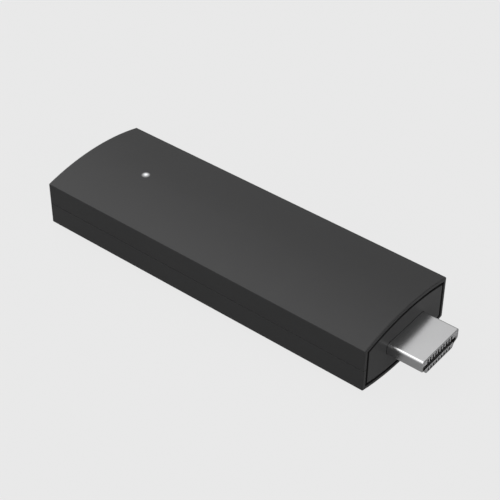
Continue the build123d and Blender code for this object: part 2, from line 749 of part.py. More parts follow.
def antenna(side):
    """Stamped aerial: a slotted strip that stands along the board's edge on two feet."""
    out = BOARD_SIDE - ANTENNA_INSET
    sheet = (side * (out - ANTENNA_SHEET), side * out)
    start = LIGHT_X
    strip = block((start, start + ANTENNA_LENGTH), sheet, (BOARD_TOP, BOARD_TOP + ANTENNA_HEIGHT))
    pitch = ANTENNA_LENGTH / (ANTENNA_SLOTS + 1)
    for index in range(ANTENNA_SLOTS):
        x = about(start + (index + 1) * pitch, ANTENNA_SLOT_WIDTH)
        top = BOARD_TOP + ANTENNA_HEIGHT
        z = (top - ANTENNA_SLOT_DEPTH, top) if index % 2 else (BOARD_TOP, BOARD_TOP + ANTENNA_SLOT_DEPTH)
        strip -= block(x, sheet, z)
    for x in (start, start + ANTENNA_LENGTH - ANTENNA_FOOT):
        inward = (side * (out - ANTENNA_SHEET - ANTENNA_FOOT), side * out)
        strip += block((x, x + ANTENNA_FOOT), inward, (BOARD_TOP, BOARD_TOP + ANTENNA_SHEET))
    return strip


def antenna_left():
    """Aerial on the left, seen from the far end."""
    return antenna(1)


def antenna_right():
    """Aerial on the right, seen from the far end."""
    return antenna(-1)


def hdmi_shell():
    """Folded metal shell of the plug, with two legs that stand on the board."""
    outside = span(plug_profile(0), PLUG_REAR, X_TIP)
    outside = fillet(outside.edges().group_by(Axis.X)[-1], PLUG_EDGE)
    tube = outside - span(plug_profile(PLUG_SHEET), PLUG_REAR, X_TIP)
    for side in (-1, 1):
        wall = (side * (PLUG_WIDTH / 2 - PLUG_SHEET), side * PLUG_WIDTH / 2)
        along = (PLUG_REAR - PLUG_LEG_LENGTH, PLUG_REAR + PLUG_SHEET)
        tube += block(along, wall, (BOARD_TOP, BOARD_TOP + PLUG_LEG_HEIGHT))
    return tube


def upper_contact_places():
    """Places across the plug of its upper contacts."""
    return row(UPPER_CONTACTS, CONTACT_PITCH)


def lower_contact_places():
    """Places across the plug of its lower contacts."""
    return row(LOWER_CONTACTS, CONTACT_PITCH)


def hdmi_insulator():
    """Block in the plug's shell: a wide cavity, an open comb above it and a row of notches below."""
    front = X_TIP - INSULATOR_RECESS
    floor = X_TIP - CAVITY_DEPTH
    body = span(plug_profile(PLUG_SHEET + INSULATOR_FIT), PLUG_REAR, front)
    roof = CAVITY_Z + CAVITY_HEIGHT / 2
    bed = CAVITY_Z - CAVITY_HEIGHT / 2
    body -= block((floor, front), about(0, CAVITY_WIDTH), (bed, roof))
    upper = (BOARD_TOP - SLOT_FIT, BOARD_TOP + CONTACT_THICKNESS + SLOT_FIT)
    for y in upper_contact_places():
        body -= block((floor, front), about(y, SLOT_WIDTH), (roof, roof + SLOT_HEIGHT))
        body -= block((PLUG_REAR, floor), about(y, SLOT_WIDTH), upper)
    lower = (BOARD_BOTTOM - CONTACT_THICKNESS - SLOT_FIT, BOARD_BOTTOM + SLOT_FIT)
    notch_top = bed - STRIP_HEIGHT
    channel_floor = notch_top - NOTCH_HEIGHT
    underside = PLUG_Z - PLUG_HEIGHT / 2
    behind_strip = X_TIP - STRIP_DEPTH
    for y in lower_contact_places():
        body -= block((floor, behind_strip), about(y, SLOT_WIDTH), (channel_floor, bed))
        body -= block((behind_strip, front), about(y, SLOT_WIDTH), (underside, notch_top))
        body -= block((PLUG_REAR, floor), about(y, SLOT_WIDTH), lower)
    return body


def contact_strip(y, z):
    """One straight contact, from its tail on the board to its end behind the plug's front."""
    along = (PLUG_REAR - CONTACT_TAIL, X_TIP - CONTACT_SETBACK)
    return block(along, about(y, CONTACT_WIDTH), z)


def hdmi_upper_contacts():
    """Upper row of contacts, which lie on the board's top."""
    z = (BOARD_TOP, BOARD_TOP + CONTACT_THICKNESS)
    return group(contact_strip(y, z) for y in upper_contact_places())


def hdmi_lower_contacts():
    """Lower row of contacts, which lie under the board."""
    z = (BOARD_BOTTOM - CONTACT_THICKNESS, BOARD_BOTTOM)
    return group(contact_strip(y, z) for y in lower_contact_places())


def usb_shell():
    """Metal shell of the power socket."""
    tube = span(usb_profile(0), USB_MOUTH, USB_REAR)
    return tube - span(usb_profile(USB_SHEET), USB_MOUTH, USB_REAR)


def usb_tongue_z():
    """Heights of the underside and the top of the power socket's tongue."""
    middle = BOARD_TOP + USB_HEIGHT / 2
    return (middle, middle + USB_TONGUE_THICKNESS)


def usb_insulator():
    """Block at the back of the power socket, with the tongue that carries the contacts."""
    block_front = USB_REAR - USB_BLOCK
    body = span(usb_profile(USB_SHEET + INSULATOR_FIT), block_front, USB_REAR)
    tongue = (USB_MOUTH + USB_TONGUE_SETBACK, block_front)
    body += block(tongue, about(0, USB_TONGUE_WIDTH), usb_tongue_z())
    under = usb_tongue_z()[0]
    for y in row(USB_CONTACTS, USB_CONTACT_PITCH):
        width = USB_CONTACT_WIDTH + 2 * SLOT_FIT
        z = (under - USB_CONTACT_THICKNESS - SLOT_FIT, under)
        body -= block((block_front, USB_REAR), about(y, width), z)
    return body


def usb_contacts():
    """Contacts under the tongue, each with a tail that drops to the board."""
    under = usb_tongue_z()[0]
    sheet = USB_CONTACT_THICKNESS
    strips = []
    for y in row(USB_CONTACTS, USB_CONTACT_PITCH):
        wide = about(y, USB_CONTACT_WIDTH)
        drop = (USB_REAR + SLOT_FIT, USB_REAR + SLOT_FIT + sheet)
        strip = block((USB_MOUTH + 2 * USB_TONGUE_SETBACK, drop[1]), wide, (under - sheet, under))
        strip += block(drop, wide, (BOARD_TOP, under))
        strip += block((drop[0], USB_REAR + USB_TAIL), wide, (BOARD_TOP, BOARD_TOP + sheet))
        strips.append(strip)
    return group(strips)


def reset_button():
    """Round button in the far end plate, kept in by its flange."""
    stem = rod((BUTTON_FACE, BUTTON_REAR), BUTTON_Y, SWITCH_Z, BUTTON_RADIUS)
    stem = fillet(stem.edges().sort_by(Axis.X)[0], BUTTON_EDGE)
    flange = (BUTTON_FLANGE_FRONT, BUTTON_REAR)
    return stem + rod(flange, BUTTON_Y, SWITCH_Z, BUTTON_FLANGE_RADIUS)


def switch_body():
    """Moulded body of the switch, with a chamber open at the top and a window for the plunger."""
    x = (SWITCH_FRONT, SWITCH_FRONT + SWITCH_DEPTH)
    body = block(x, about(BUTTON_Y, SWITCH_WIDTH), (BOARD_TOP, SWITCH_TOP))
    low = SWITCH_Z - DOME_RADIUS - PLUNGER_FIT
    chamber_y = about(BUTTON_Y, SWITCH_CHAMBER_WIDTH)
    body -= block((CHAMBER_FRONT, CHAMBER_REAR), chamber_y, (low, SWITCH_TOP))
    window_y = about(BUTTON_Y, PLUNGER_WIDTH + 2 * PLUNGER_FIT)
    window_z = about(SWITCH_Z, PLUNGER_HEIGHT + 2 * PLUNGER_FIT)
    return body - block((SWITCH_FRONT, CHAMBER_FRONT), window_y, window_z)


def switch_cover():
    """Thin plate that closes the switch."""
    x = (SWITCH_FRONT, SWITCH_FRONT + SWITCH_DEPTH)
    z = (SWITCH_TOP, SWITCH_TOP + SWITCH_COVER_THICKNESS)
    return block(x, about(BUTTON_Y, SWITCH_WIDTH), z)


def switch_plunger():
    """Plunger between the button and the dome, kept in the switch by its flange."""
    stem_y = about(BUTTON_Y, PLUNGER_WIDTH)
    stem = block((BUTTON_REAR, PLUNGER_REAR), stem_y, about(SWITCH_Z, PLUNGER_HEIGHT))
    flange_y = about(BUTTON_Y, PLUNGER_FLANGE_WIDTH)
    flange_x = (PLUNGER_REAR - PLUNGER_FLANGE_THICKNESS, PLUNGER_REAR)
    return stem + block(flange_x, flange_y, about(SWITCH_Z, PLUNGER_FLANGE_HEIGHT))


def switch_dome():
    """Snap dome behind the plunger: a thin cap of a sphere, its rim on the chamber's back wall."""
    curve = (DOME_RADIUS**2 + DOME_RISE**2) / (2 * DOME_RISE)
    centre = Pos(CHAMBER_REAR + curve - DOME_RISE, BUTTON_Y, SWITCH_Z)
    skin = Sphere(curve) - Sphere(curve - DOME_SHEET)
    reach = 2 * curve
    wide = (BUTTON_Y - reach, BUTTON_Y + reach)
    front = block((CHAMBER_REAR - reach, CHAMBER_REAR), wide, (SWITCH_Z - reach, SWITCH_Z + reach))
    return (centre * skin) & front


def switch_terminals():
    """Flat legs of the switch on the board, at both its sides."""
    legs = []
    for side in (-1, 1):
        inner = BUTTON_Y + side * SWITCH_WIDTH / 2
        y = (inner, inner + side * TERMINAL_REACH)
        for x in (SWITCH_FRONT, SWITCH_FRONT + SWITCH_DEPTH - TERMINAL_LENGTH):
            z = (BOARD_TOP, BOARD_TOP + TERMINAL_THICKNESS)
            legs.append(block((x, x + TERMINAL_LENGTH), y, z))
    return group(legs)


PARTS = [
    top_cover,
    bottom_cover,
    front_end_cap,
    rear_end_cap,
    light_pipe,
    status_led,
    main_board,
    board_screws,
    processor_chip,
    memory_chip,
    flash_chip,
    power_chip,
    power_inductors,
    crystal,
    capacitors,
    resistors,
    shield_frame,
    shield_lid,
    chip_pad,
    spreader_pad,
    lower_pad,
    heat_spreader,
    lower_spreader,
    wireless_board,
    wireless_can,
    antenna_left,
    antenna_right,
    hdmi_shell,
    hdmi_insulator,
    hdmi_upper_contacts,
    hdmi_lower_contacts,
    usb_shell,
    usb_insulator,
    usb_contacts,
    reset_button,
    switch_body,
    switch_cover,
    switch_plunger,
    switch_dome,
    switch_terminals,
]

os.makedirs("parts", exist_ok=True)
for part in PARTS:
    export_step(part(), f"parts/{part.__name__}.step")
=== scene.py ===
from math import cos, pi, radians, sin

import bpy
from mathutils import Matrix, Vector


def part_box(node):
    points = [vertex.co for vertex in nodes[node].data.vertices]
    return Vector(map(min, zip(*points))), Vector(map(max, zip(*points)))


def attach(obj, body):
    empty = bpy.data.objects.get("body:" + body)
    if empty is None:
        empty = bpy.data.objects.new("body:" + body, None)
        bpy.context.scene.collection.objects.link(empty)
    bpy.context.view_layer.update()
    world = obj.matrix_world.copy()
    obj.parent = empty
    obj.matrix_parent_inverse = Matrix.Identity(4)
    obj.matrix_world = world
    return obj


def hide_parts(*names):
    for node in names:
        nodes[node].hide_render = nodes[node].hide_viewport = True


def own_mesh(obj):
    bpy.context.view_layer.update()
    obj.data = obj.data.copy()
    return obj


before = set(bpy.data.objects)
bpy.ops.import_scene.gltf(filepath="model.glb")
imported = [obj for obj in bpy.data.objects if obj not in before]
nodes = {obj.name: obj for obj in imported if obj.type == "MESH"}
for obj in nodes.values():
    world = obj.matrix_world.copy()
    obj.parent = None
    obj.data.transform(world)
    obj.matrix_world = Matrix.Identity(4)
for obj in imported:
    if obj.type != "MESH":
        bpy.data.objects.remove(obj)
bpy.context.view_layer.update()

# A streaming stick on a pale floor under soft studio light. Lengths are in metres, in the frame of
# the solids: X along the stick towards its plug, Y across it, Z up. Colours are linear.

MM = 0.001

# Camera, fitted to the edges of the object in the photograph
CAMERA_PLACE = (0.15141, -0.19008, 0.20693)
CAMERA_YAW = radians(128.782)
CAMERA_PITCH = radians(39.1415)
CAMERA_ROLL = radians(0.266)
CAMERA_LENS = 100.18  # in millimetres, as is the sensor
CAMERA_SENSOR = 36.0
CAMERA_NEAR = 0.01
CAMERA_FAR = 20.0

# Floor and backdrop
BACKGROUND = 0.806
FLOOR_SIZE = 4.0
FLOOR_DROP = 0.02 * MM
FLOOR_PAINT = 0.16
FLOOR_SPREAD = 0.01
FLOOR_CLOUD = 0.08
FLOOR_EVEN = 0.9  # the even tone over its paint
SEEN_SHARE = 0.88  # how much of that even tone the camera meets
MIRRORED_SHARE = 0.24  # how much of the pale background metal and glass meet

# Studio light: an even part, and soft windows as (azimuth, elevation, strength)
EVEN_LIGHT = 0.17
WINDOW_FALLOFF = 6.0
WINDOWS = [
    (200.0, 60.0, 2.6),
    (146.0, 47.0, 0.7),
    (245.0, 20.0, 0.5),
    (338.0, 8.0, 3.65),
]

# Colours outside, or seen through an opening
HOUSING = (0.022, 0.022, 0.0223)
BUTTON = (0.026, 0.026, 0.027)
LIGHT = (0.95, 0.97, 1.0)
PLUG_METAL = (0.61, 0.61, 0.615)
PLUG_INSULATOR = (0.33, 0.33, 0.335)
# painted shade inside the plug insulator's cavity and slots
PLUG_INSULATOR_PAINTED_SHADE = (0.05, 0.05, 0.051)
SOCKET_METAL = (0.58, 0.58, 0.585)
SOCKET_INSULATOR = (0.015, 0.015, 0.015)
GILDING = (0.83, 0.6, 0.28)

# Colours inside, in pairs where a surface has two
MASK = (0.008, 0.05, 0.022)
MASK_ON_COPPER = (0.02, 0.12, 0.05)
VIA_GILDING = (0.75, 0.52, 0.2)
CHIP = (0.018, 0.018, 0.02)
PHOSPHOR = (0.85, 0.78, 0.4), (0.9, 0.88, 0.6)
CERAMIC = (0.33, 0.22, 0.13), (0.42, 0.3, 0.19)
GLAZE = (0.015, 0.015, 0.018), (0.05, 0.05, 0.055)
POWDER = (0.07, 0.07, 0.075), (0.13, 0.13, 0.135)
TINNED_SHEET = (0.57, 0.57, 0.55)
ALUMINIUM = (0.7, 0.71, 0.73)
SCREW = (0.5, 0.5, 0.52)
SWITCH = (0.03, 0.03, 0.03)
SWITCH_COVER = (0.58, 0.58, 0.56)
SPRING_STEEL = (0.55, 0.55, 0.54)
SILICONE = (0.3, 0.36, 0.43)

# Recesses of the housing: the tone of their painted shade, and their roughness
PAINTED_SHADE_TONE = 0.2
DULL_ROUGHNESS = 0.95
PLATE_EDGE_SHADED = 0.04 * MM  # painted shade in full from this far behind an end plate's face
PLATE_EDGE_UNSHADED = 0.01 * MM
SEAM_SHADED = 0.12 * MM  # strongest painted shade within this far above and below the middle of the covers' seam
SEAM_UNSHADED = 0.14 * MM
SEAM_SHARE = 0.5  # share of its own tone and roughness that the seam's groove keeps under the painted shade

# Status light and what it spills round its pin
PIN_RADIUS = 0.7 * MM
PIN_CORE = 1.05  # strength at the pin's middle, and then at its rim
PIN_RIM = 0.1
PIN_HAZE = (0.16, 0.2)
SPILL_STRENGTH = 0.28
SPILL_REACH = 0.4 * MM
SPILL_OFFSET = Vector((0.07 * MM, -0.09 * MM, 0.0))

# Depth behind the plug's front beyond which its insulator has painted shade
INSULATOR_REACH = 0.05 * MM

# Satin grain of sheet metal, drawn out along the stick
SATIN_SCALE = (0.12, 1.0, 1.0)

# Printed board pattern
TRACK_BLOCK = 2.2 * MM
TRACK_PITCH = 0.36 * MM
TRACK_WIDTH = 0.45  # share of the pitch
CROSSWISE_BLOCKS = 0.55  # share of the blocks
POURED_BLOCKS_FROM = 0.82  # a block's random pick, from which it is poured full
VIA_PITCH = 1.9 * MM
VIA_RADIUS = 0.2 * MM

# Snap dome
DOME_RINGS = 8
DOME_STEPS = 24
DOME_SHOULDER = 0.9  # share of the radius at which its slope ends
DOME_SHEET = 0.1 * MM

# Soft pads
PAD_CORNER = 0.12  # share of half the narrower side
PAD_CORNER_STEPS = 4
PAD_LEVELS = 6
PAD_BULGE = 0.5  # share of half the thickness


def middle_of(box):
    """The middle of a node's box."""
    return (box[0] + box[1]) / 2


# Places read from the frame
PLUG_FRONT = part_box("hdmi_insulator")[1].x
PIN_MIDDLE = middle_of(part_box("light_pipe"))
PIN_CENTRE = Vector((PIN_MIDDLE.x, PIN_MIDDLE.y, 0.0))
SEAM_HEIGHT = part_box("top_cover")[1].z / 2


def node(tree, kind, inputs=None, **settings):
    """A shader node with its settings and input values, where an input may be another node's output."""
    made = tree.nodes.new(kind)
    for name, value in settings.items():
        setattr(made, name, value)
    for name, value in (inputs or {}).items():
        if isinstance(value, bpy.types.NodeSocket):
            tree.links.new(value, made.inputs[name])
        else:
            made.inputs[name].default_value = value
    return made


def grey(value):
    """A neutral colour of that linear value."""
    return (value, value, value, 1.0)


def toned(colour, share=1.0):
    """A colour as a shader takes it, made darker or lighter by that share."""
    return tuple(channel * share for channel in colour) + (1.0,)


def new_material(name):
    """An empty material and its node tree."""
    material = bpy.data.materials.new(name)
    material.use_nodes = True
    material.node_tree.nodes.clear()
    return material, material.node_tree


def finish_material(tree, shader):
    """Joins a shader to the material's output."""
    output = tree.nodes.new("ShaderNodeOutputMaterial")
    tree.links.new(shader, output.inputs["Surface"])


def object_place(tree):
    """The point on the object, in its own coordinates."""
    return node(tree, "ShaderNodeTexCoord").outputs["Object"]


def along(tree, place, axis):
    """How far a point lies along one axis."""
    return node(tree, "ShaderNodeSeparateXYZ", {"Vector": place}).outputs[axis]


def noise(tree, place, size, detail=2.0, roughness=0.5):
    """Noise with features of about that size."""
    settings = {"Vector": place, "Scale": 1.0 / size, "Detail": detail, "Roughness": roughness}
    return node(tree, "ShaderNodeTexNoise", settings).outputs["Fac"]


def fine_grain(tree, place, size):
    """Noise broken up into grains."""
    return noise(tree, place, size, detail=3.0, roughness=0.6)


def calculate(tree, operation, *values):
    """The result of one step of arithmetic on values."""
    return node(tree, "ShaderNodeMath", dict(enumerate(values)), operation=operation).outputs[0]


def combine(tree, operation, first, second):
    """The outputs of one step of arithmetic on two vectors."""
    return node(tree, "ShaderNodeVectorMath", {0: first, 1: second}, operation=operation).outputs


def most(tree, *values):
    """The largest of several values."""
    largest = values[0]
    for value in values[1:]:
        largest = calculate(tree, "MAXIMUM", largest, value)
    return largest


def remap(tree, value, low, high, start=0.0, end=1.0):
    """A value moved from the range between start and end to that between low and high."""
    settings = {"Value": value, "From Min": start, "From Max": end, "To Min": low, "To Max": high}
    return node(tree, "ShaderNodeMapRange", settings).outputs["Result"]


def radial(tree, place, centre, first, last, start, end):
    """A value that goes from first to last between two distances from an upright line."""
    level = combine(tree, "MULTIPLY", place, (1.0, 1.0, 0.0))["Vector"]
    distance = combine(tree, "DISTANCE", level, centre)["Value"]
    return remap(tree, distance, first, last, start, end)


def mix_value(tree, share, first, second):
    """A value between two."""
    return node(tree, "ShaderNodeMix", {0: share, 2: first, 3: second}).outputs[0]


def mix_colour(tree, share, first, second):
    """A colour between two."""
    return node(tree, "ShaderNodeMix", {0: share, 6: first, 7: second}, data_type="RGBA").outputs[2]


def mix_shader(tree, share, first, second):
    """A shader between two."""
    return node(tree, "ShaderNodeMixShader", {0: share, 1: first, 2: second}).outputs["Shader"]


def mottled(tree, pattern, colour, spread):
    """A colour that is darker and lighter by that share with a pattern."""
    return mix_colour(tree, pattern, toned(colour, 1.0 - spread), toned(colour, 1.0 + spread))


def uneven_gloss(tree, pattern, roughness, spread):
    """A roughness that follows the middle of a pattern's range."""
    return remap(tree, pattern, roughness - spread, roughness + spread, start=0.3, end=0.7)


def bump(tree, height, distance, strength=1.0):
    """Bumps of that height in metres."""
    settings = {"Height": height, "Distance": distance, "Strength": strength}
    return node(tree, "ShaderNodeBump", settings).outputs["Normal"]


def principled(tree, colour, roughness, normal=None, **sockets):
    """The main shader."""
    settings = {"Base Color": colour, "Roughness": roughness}
    if normal is not None:
        settings["Normal"] = normal
    settings.update({name.replace("_", " "): value for name, value in sockets.items()})
    return node(tree, "ShaderNodeBsdfPrincipled", settings).outputs["BSDF"]


def moulded_plastic(
    name, colour, roughness, grain=0.16 * MM, depth=0.004 * MM, specular=0.38, unshaded=None, glow=None
):
    """Matt moulded plastic: spark-eroded grain and slow changes of tone, with painted shade and a
    rougher finish in recesses that a mask marks.
    """
    material, tree = new_material(name)
    place = object_place(tree)
    fine = fine_grain(tree, place, grain)
    shade = mottled(tree, noise(tree, place, size=9 * MM), colour, spread=0.07)
    gloss = uneven_gloss(tree, fine, roughness, spread=0.03)
    if unshaded is not None:
        # Painted shade: a darker tone and higher roughness where the mask marks a recess
        share = unshaded(tree, place)
        shade = mix_colour(tree, share, toned(colour, PAINTED_SHADE_TONE), shade)
        gloss = mix_value(tree, share, DULL_ROUGHNESS, gloss)
    sockets = {"Specular_IOR_Level": specular}
    if glow is not None:
        sockets.update(Emission_Color=grey(1.0), Emission_Strength=glow(tree, place))
    finish_material(tree, principled(tree, shade, gloss, bump(tree, fine, depth), **sockets))
    return material


def plate_face(face_x, inward):
    """Says where an end plate has neither painted shade nor a rougher finish: on its face, but not on
    its edge in the dark gap round it.
    """
    shaded_x = face_x + inward * PLATE_EDGE_SHADED
    unshaded_x = face_x + inward * PLATE_EDGE_UNSHADED

    def share(tree, place):
        return remap(tree, along(tree, place, "X"), 0.0, 1.0, shaded_x, unshaded_x)

    return share


def off_seam(tree, place):
    """Says where the covers have neither painted shade nor a rougher finish: everywhere but in the
    groove along their seam.
    """
    above = calculate(tree, "SUBTRACT", along(tree, place, "Z"), SEAM_HEIGHT)
    off = calculate(tree, "ABSOLUTE", above)
    return remap(tree, off, SEAM_SHARE, 1.0, SEAM_SHADED, SEAM_UNSHADED)


def spilled_light(tree, place):
    """Says how strongly the top face is lit round the status light's pin."""
    lit = PIN_CENTRE + SPILL_OFFSET
    return radial(tree, place, lit, SPILL_STRENGTH, 0.0, PIN_RADIUS, PIN_RADIUS + SPILL_REACH)


def cover_plastic(name, glow=None):
    """The covers' plastic, with painted shade and a rougher finish in the groove between them."""
    return moulded_plastic(name, HOUSING, roughness=0.44, specular=0.34, unshaded=off_seam, glow=glow)


def plate_plastic(plate, side, inward):
    """An end plate's plastic, with painted shade and a rougher finish on its edge behind its face, on
    the side of its box where that face is.
    """
    unshaded = plate_face(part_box(plate)[side].x, inward)
    return moulded_plastic(plate + "_plastic", HOUSING, roughness=0.3, specular=0.31, unshaded=unshaded)


def painted_shade_plastic(name, front_colour, shade_colour, front_x, reach, roughness):
    """Moulded plastic that is pale at its front face, with painted shade inside its openings."""
    material, tree = new_material(name)
    place = object_place(tree)
    share = remap(tree, along(tree, place, "X"), 0.0, 1.0, front_x - reach, front_x - reach / 2)
    fine = fine_grain(tree, place, size=0.12 * MM)
    pale = mottled(tree, fine, front_colour, spread=0.06)
    # Painted shade: the dark colour stands in for the shade deep in the openings
    shade = mix_colour(tree, share, toned(shade_colour), pale)
    relief = bump(tree, fine, distance=0.003 * MM)
    finish_material(tree, principled(tree, shade, roughness, relief, Specular_IOR_Level=0.4))
    return material


def light_tip(name, colour):
    """Clear pin lit from below, brightest at its middle."""
    material, tree = new_material(name)
    place = object_place(tree)
    strength = radial(tree, place, PIN_CENTRE, PIN_CORE, PIN_RIM, 0.0, PIN_RADIUS)
    haze = noise(tree, place, size=0.3 * MM)
    shade = mix_colour(tree, haze, grey(PIN_HAZE[0]), grey(PIN_HAZE[1]))
    lit = {"Emission_Color": toned(colour), "Emission_Strength": strength}
    finish_material(tree, principled(tree, shade, roughness=0.25, **lit))
    return material


def plated_metal(name, colour, roughness, grain=0.25 * MM, depth=0.0004 * MM):
    """Plated sheet metal, smooth with a faint satin grain drawn along the stick."""
    material, tree = new_material(name)
    place = object_place(tree)
    drawn = node(tree, "ShaderNodeMapping", {"Vector": place, "Scale": SATIN_SCALE})
    satin = fine_grain(tree, drawn.outputs["Vector"], grain)
    shade = mottled(tree, noise(tree, place, size=4 * MM), colour, spread=0.03)
    gloss = uneven_gloss(tree, satin, roughness, spread=0.02)
    finish_material(tree, principled(tree, shade, gloss, bump(tree, satin, depth), Metallic=1.0))
    return material


def speckled(name, colours, size, roughness):
    """Fine grains of two tones."""
    material, tree = new_material(name)
    grains = noise(tree, object_place(tree), size, detail=4.0, roughness=0.7)
    share = remap(tree, grains, 0.0, 1.0, start=0.35, end=0.65)
    shade = mix_colour(tree, share, toned(colours[0]), toned(colours[1]))
    gloss = uneven_gloss(tree, grains, roughness, spread=0.05)
    relief = bump(tree, grains, distance=0.003 * MM)
    finish_material(tree, principled(tree, shade, gloss, relief))
    return material


def silicone(name, colour):
    """Soft filled silicone, cloudy, with a cast surface."""
    material, tree = new_material(name)
    place = object_place(tree)
    cloudy = noise(tree, place, size=1.2 * MM, detail=3.0)
    shade = mottled(tree, cloudy, colour, spread=0.1)
    relief = bump(tree, fine_grain(tree, place, size=0.2 * MM), distance=0.01 * MM)
    shader = principled(tree, shade, roughness=0.6, normal=relief, Specular_IOR_Level=0.35)
    finish_material(tree, shader)
    return material


def track_pattern(tree, place):
    """Copper under a board's mask: blocks of tracks one way or the other, and some poured full."""
    block = combine(tree, "SNAP", place, (TRACK_BLOCK, TRACK_BLOCK, 1.0))["Vector"]
    pick = node(tree, "ShaderNodeTexWhiteNoise", {"Vector": block}).outputs["Value"]
    tracks = []
    for axis in ("X", "Y"):
        turns = calculate(tree, "DIVIDE", along(tree, place, axis), TRACK_PITCH)
        tracks.append(calculate(tree, "LESS_THAN", calculate(tree, "FRACT", turns), TRACK_WIDTH))
    crosswise = calculate(tree, "LESS_THAN", pick, CROSSWISE_BLOCKS)
    poured = calculate(tree, "GREATER_THAN", pick, POURED_BLOCKS_FROM)
    return most(tree, mix_value(tree, crosswise, *tracks), poured)


def solder_mask(name):
    """Printed board: green mask over copper tracks, with gilt via pads."""
    material, tree = new_material(name)
    place = object_place(tree)
    copper = track_pattern(tree, place)
    cells = node(tree, "ShaderNodeTexVoronoi", {"Vector": place, "Scale": 1.0 / VIA_PITCH})
    via = calculate(tree, "LESS_THAN", cells.outputs["Distance"], VIA_RADIUS / VIA_PITCH)
    shade = mix_colour(tree, copper, toned(MASK), toned(MASK_ON_COPPER))
    shade = mix_colour(tree, via, shade, toned(VIA_GILDING))
    relief = bump(tree, most(tree, copper, via), distance=0.02 * MM, strength=0.4)
    metallic = remap(tree, via, low=0.0, high=0.9)
    finish_material(tree, principled(tree, shade, roughness=0.3, normal=relief, Metallic=metallic))
    return material


def background_share(tree, seen_share):
    """How much of the pale background a ray meets: much for the camera, some in metal and glass."""
    path = node(tree, "ShaderNodeLightPath").outputs
    seen = remap(tree, path["Is Camera Ray"], 0.0, seen_share)
    mirrored = remap(tree, path["Is Glossy Ray"], 0.0, MIRRORED_SHARE)
    through = remap(tree, path["Is Transmission Ray"], 0.0, MIRRORED_SHARE)
    return most(tree, seen, mirrored, through)


def make_floor():
    """Pale floor that keeps a faint shadow of the object."""
    bpy.ops.mesh.primitive_plane_add(size=FLOOR_SIZE, location=(0, 0, -FLOOR_DROP))
    floor = bpy.context.object
    floor.name = "floor"
    material, tree = new_material("floor_paint")
    cloud = noise(tree, object_place(tree), FLOOR_CLOUD)
    tone = remap(tree, cloud, FLOOR_PAINT * (1.0 - FLOOR_SPREAD), FLOOR_PAINT * (1.0 + FLOOR_SPREAD))
    paint = node(tree, "ShaderNodeBsdfDiffuse", {"Color": tone}).outputs["BSDF"]
    even = node(tree, "ShaderNodeEmission", {"Color": grey(FLOOR_EVEN)}).outputs["Emission"]
    finish_material(tree, mix_shader(tree, background_share(tree, SEEN_SHARE), paint, even))
    floor.data.materials.append(material)


def make_camera():
    """Camera at the photograph's place and angle."""
    forward = Vector((
        cos(CAMERA_PITCH) * cos(CAMERA_YAW),
        cos(CAMERA_PITCH) * sin(CAMERA_YAW),
        -sin(CAMERA_PITCH),
    ))
    level = forward.cross(Vector((0, 0, 1))).normalized()
    upright = level.cross(forward)
    right = level * cos(CAMERA_ROLL) + upright * sin(CAMERA_ROLL)
    up = upright * cos(CAMERA_ROLL) - level * sin(CAMERA_ROLL)
    camera = bpy.data.objects.new("camera", bpy.data.cameras.new("camera"))
    bpy.context.scene.collection.objects.link(camera)
    turn = Matrix((right, up, -forward)).transposed().to_4x4()
    camera.matrix_world = Matrix.Translation(CAMERA_PLACE) @ turn
    camera.data.lens = CAMERA_LENS
    camera.data.sensor_width = CAMERA_SENSOR
    camera.data.clip_start = CAMERA_NEAR
    camera.data.clip_end = CAMERA_FAR
    bpy.context.scene.camera = camera


def direction(azimuth, elevation):
    """Unit vector towards an azimuth, from +X towards +Y, and an elevation, in degrees."""
    across = cos(radians(elevation))
    return (across * cos(radians(azimuth)), across * sin(radians(azimuth)), sin(radians(elevation)))


def make_world():
    """Soft studio windows round the object, and the background's tone for the camera."""
    world = bpy.data.worlds.new("studio")
    bpy.context.scene.world = world
    world.use_nodes = True
    tree = world.node_tree
    tree.nodes.clear()
    way = node(tree, "ShaderNodeTexCoord").outputs["Generated"]
    total = EVEN_LIGHT
    for azimuth, elevation, strength in WINDOWS:
        facing = combine(tree, "DOT_PRODUCT", way, direction(azimuth, elevation))["Value"]
        soft = calculate(tree, "POWER", most(tree, facing, 0.0), WINDOW_FALLOFF)
        total = calculate(tree, "MULTIPLY_ADD", soft, strength, total)
    studio = node(tree, "ShaderNodeBackground", {"Color": grey(1.0), "Strength": total}).outputs[0]
    plain = node(tree, "ShaderNodeBackground", {"Color": grey(BACKGROUND)}).outputs[0]
    surface = mix_shader(tree, background_share(tree, seen_share=1.0), studio, plain)
    output = tree.nodes.new("ShaderNodeOutputWorld")
    tree.links.new(surface, output.inputs["Surface"])


def dress(names, material):
    """Gives CAD nodes their material."""
    for name in names:
        slots = nodes[name].data.materials
        slots.clear()
        slots.append(material)


def dress_housing():
    """Covers, end plates, reset button and the pin of the status light."""
    dress(["top_cover"], cover_plastic("top_plastic", glow=spilled_light))
    dress(["bottom_cover"], cover_plastic("bottom_plastic"))
    dress(["front_end_cap"], plate_plastic("front_end_cap", side=1, inward=-1))
    dress(["rear_end_cap"], plate_plastic("rear_end_cap", side=0, inward=1))
    dress(["reset_button"], moulded_plastic("button_plastic", BUTTON, roughness=0.42))
    dress(["light_pipe"], light_tip("light_clear", LIGHT))


